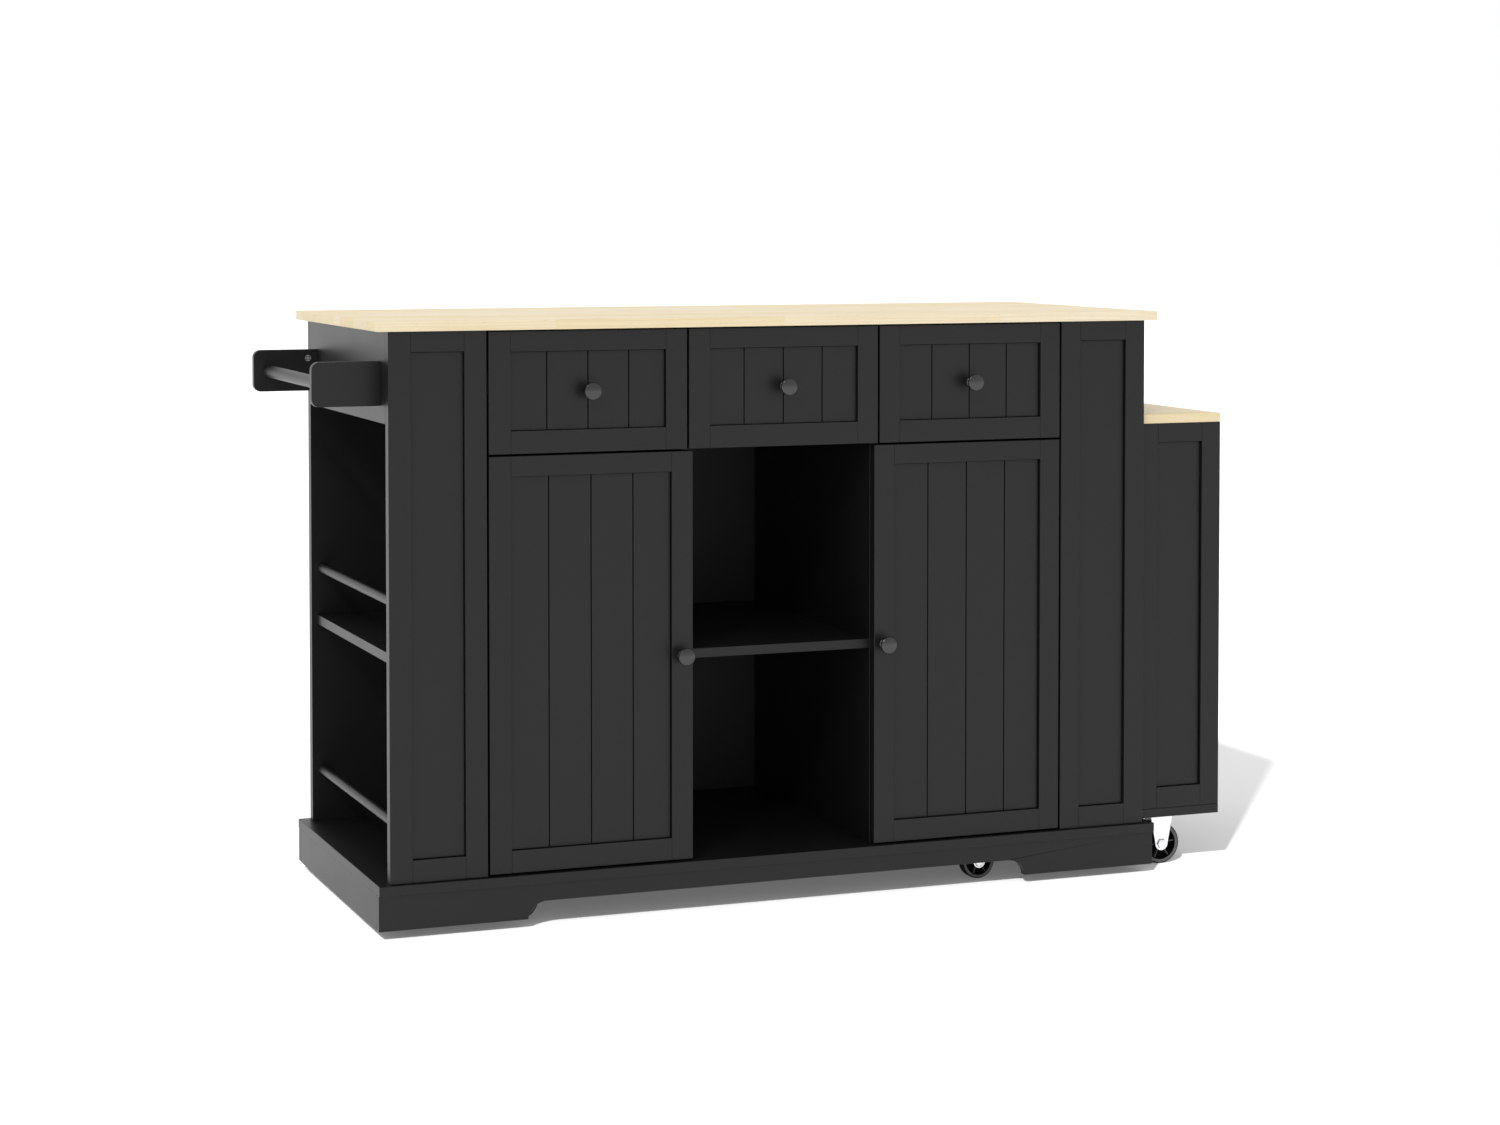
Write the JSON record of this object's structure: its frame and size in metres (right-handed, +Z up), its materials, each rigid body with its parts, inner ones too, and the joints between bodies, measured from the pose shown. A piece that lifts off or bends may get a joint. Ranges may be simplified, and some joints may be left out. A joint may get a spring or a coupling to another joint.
{
  "type": "drop leaf kitchen island",
  "caption": "Kitchen island on casters with a pale wood worktop, drawers, doors, an open cubby, an end rack, a towel rail, a pull-out table on its own leg and a rear drop leaf.",
  "frame": {"origin": "middle of the object's box, on the floor", "axes": "+X to the right seen from the front, along the worktop; +Y to the back; +Z up"},
  "size_m": [1.523, 0.574, 0.925],
  "materials": {
    "black_paint": "satin paint",
    "black_board": "matt laminate",
    "butcher_block": "clear satin lacquer",
    "black_knob": "satin",
    "zinc_steel": "bright zinc",
    "black_wheel": "moulded"
  },
  "bodies": {
    "root": {"base_plate": "black_paint", "plinth_front": "black_paint", "plinth_back": "black_paint", "plinth_left": "black_paint", "plinth_right": "black_paint", "end_panel_left": "black_paint", "end_panel_right": "black_paint", "rack_divider": "black_paint", "rack_back_board": "black_paint", "back_panel": "black_board", "right_wall": "black_paint", "partition_left": "black_paint", "partition_right": "black_paint", "cubby_shelf": "black_paint", "lower_deck": "black_board", "drawer_deck": "black_board", "drawer_divider_left": "black_board", "drawer_divider_right": "black_board", "drawer_divider_end": "black_board", "worktop": "butcher_block", "rack_apron": "black_paint", "rack_shelf": "black_paint", "rack_rail_lower": "black_paint", "rack_rail_upper": "black_paint", "towel_bracket_front": "black_paint", "towel_bracket_back": "black_paint", "towel_rod": "black_paint"},
    "drawer_left": {"drawer_left_front": "black_paint", "drawer_left_box": "black_board", "drawer_left_knob": "black_knob"},
    "drawer_middle": {"drawer_middle_front": "black_paint", "drawer_middle_box": "black_board", "drawer_middle_knob": "black_knob"},
    "drawer_right": {"drawer_right_front": "black_paint", "drawer_right_box": "black_board", "drawer_right_knob": "black_knob"},
    "door_left": {"door_left": "black_paint", "door_left_knob": "black_knob"},
    "door_right": {"door_right": "black_paint", "door_right_knob": "black_knob"},
    "pull_out_table": {"tabletop": "butcher_block", "leg_base_board": "black_paint", "leg_front_panel": "black_paint", "leg_back_panel": "black_paint", "leg_side_panel": "black_paint", "leg_front_fork": "zinc_steel", "leg_back_fork": "zinc_steel"},
    "leg_wheel_front": {"leg_front_wheel": "black_wheel"},
    "leg_wheel_back": {"leg_back_wheel": "black_wheel"},
    "caster_front_left": {"caster_front_left_fork": "zinc_steel"},
    "wheel_front_left": {"caster_front_left_wheel": "black_wheel"},
    "caster_front_right": {"caster_front_right_fork": "zinc_steel"},
    "wheel_front_right": {"caster_front_right_wheel": "black_wheel"},
    "caster_back_left": {"caster_back_left_fork": "zinc_steel"},
    "wheel_back_left": {"caster_back_left_wheel": "black_wheel"},
    "caster_back_right": {"caster_back_right_fork": "zinc_steel"},
    "wheel_back_right": {"caster_back_right_wheel": "black_wheel"},
    "drop_leaf": {"drop_leaf": "butcher_block"},
    "leaf_stay_left": {"leaf_stay_left": "zinc_steel"},
    "leaf_stay_right": {"leaf_stay_right": "zinc_steel"}
  },
  "joints": [
    {"name": "drawer_left_slide", "type": "slide", "parent": "root", "child": "drawer_left", "axis": [0, -1, 0], "range_m": [0, 0.35]},
    {"name": "drawer_middle_slide", "type": "slide", "parent": "root", "child": "drawer_middle", "axis": [0, -1, 0], "range_m": [0, 0.35]},
    {"name": "drawer_right_slide", "type": "slide", "parent": "root", "child": "drawer_right", "axis": [0, -1, 0], "range_m": [0, 0.35]},
    {"name": "door_left_hinge", "type": "hinge", "parent": "root", "child": "door_left", "pos_m": [-0.5005, -0.263, 0.403], "axis": [0, 0, -1], "range_deg": [0, 105]},
    {"name": "door_right_hinge", "type": "hinge", "parent": "root", "child": "door_right", "pos_m": [0.4515, -0.263, 0.403], "axis": [0, 0, 1], "range_deg": [0, 105]},
    {"name": "table_slide", "type": "slide", "parent": "root", "child": "pull_out_table", "axis": [1, 0, 0], "range_m": [0, 0.72]},
    {"name": "leg_front_roll", "type": "hinge", "parent": "pull_out_table", "child": "leg_wheel_front", "pos_m": [0.6745, -0.197, 0.034], "axis": [0, 1, 0], "continuous": true},
    {"name": "leg_back_roll", "type": "hinge", "parent": "pull_out_table", "child": "leg_wheel_back", "pos_m": [0.6745, 0.1975, 0.034], "axis": [0, 1, 0], "continuous": true},
    {"name": "caster_front_left_swivel", "type": "hinge", "parent": "root", "child": "caster_front_left", "pos_m": [-0.4135, -0.189, 0.063], "axis": [0, 0, 1], "continuous": true},
    {"name": "caster_front_left_roll", "type": "hinge", "parent": "caster_front_left", "child": "wheel_front_left", "pos_m": [-0.4355, -0.189, 0.028], "axis": [0, 1, 0], "continuous": true},
    {"name": "caster_front_right_swivel", "type": "hinge", "parent": "root", "child": "caster_front_right", "pos_m": [0.3645, -0.189, 0.063], "axis": [0, 0, 1], "continuous": true},
    {"name": "caster_front_right_roll", "type": "hinge", "parent": "caster_front_right", "child": "wheel_front_right", "pos_m": [0.3425, -0.189, 0.028], "axis": [0, 1, 0], "continuous": true},
    {"name": "caster_back_left_swivel", "type": "hinge", "parent": "root", "child": "caster_back_left", "pos_m": [-0.4135, 0.19, 0.063], "axis": [0, 0, 1], "continuous": true},
    {"name": "caster_back_left_roll", "type": "hinge", "parent": "caster_back_left", "child": "wheel_back_left", "pos_m": [-0.4355, 0.19, 0.028], "axis": [0, 1, 0], "continuous": true},
    {"name": "caster_back_right_swivel", "type": "hinge", "parent": "root", "child": "caster_back_right", "pos_m": [0.3645, 0.19, 0.063], "axis": [0, 0, 1], "continuous": true},
    {"name": "caster_back_right_roll", "type": "hinge", "parent": "caster_back_right", "child": "wheel_back_right", "pos_m": [0.3425, 0.19, 0.028], "axis": [0, 1, 0], "continuous": true},
    {"name": "leaf_hinge", "type": "hinge", "parent": "root", "child": "drop_leaf", "pos_m": [-0.0245, 0.268, 0.906], "axis": [1, 0, 0], "range_deg": [0, 90]},
    {"name": "leaf_stay_left_pivot", "type": "hinge", "parent": "drop_leaf", "child": "leaf_stay_left", "pos_m": [-0.4575, 0.268, 0.806], "axis": [1, 0, 0], "range_deg": [-140, 5]},
    {"name": "leaf_stay_right_pivot", "type": "hinge", "parent": "drop_leaf", "child": "leaf_stay_right", "pos_m": [0.4085, 0.268, 0.806], "axis": [1, 0, 0], "range_deg": [-140, 5]}
  ],
  "couplings": [
    {"joint": "leg_front_roll", "follows": "table_slide", "rad_per_m": 29.412},
    {"joint": "leg_back_roll", "follows": "table_slide", "rad_per_m": 29.412},
    {"joint": "leaf_stay_left_pivot", "follows": "leaf_hinge", "ratio": -1.5065},
    {"joint": "leaf_stay_right_pivot", "follows": "leaf_hinge", "ratio": -1.5065}
  ]
}
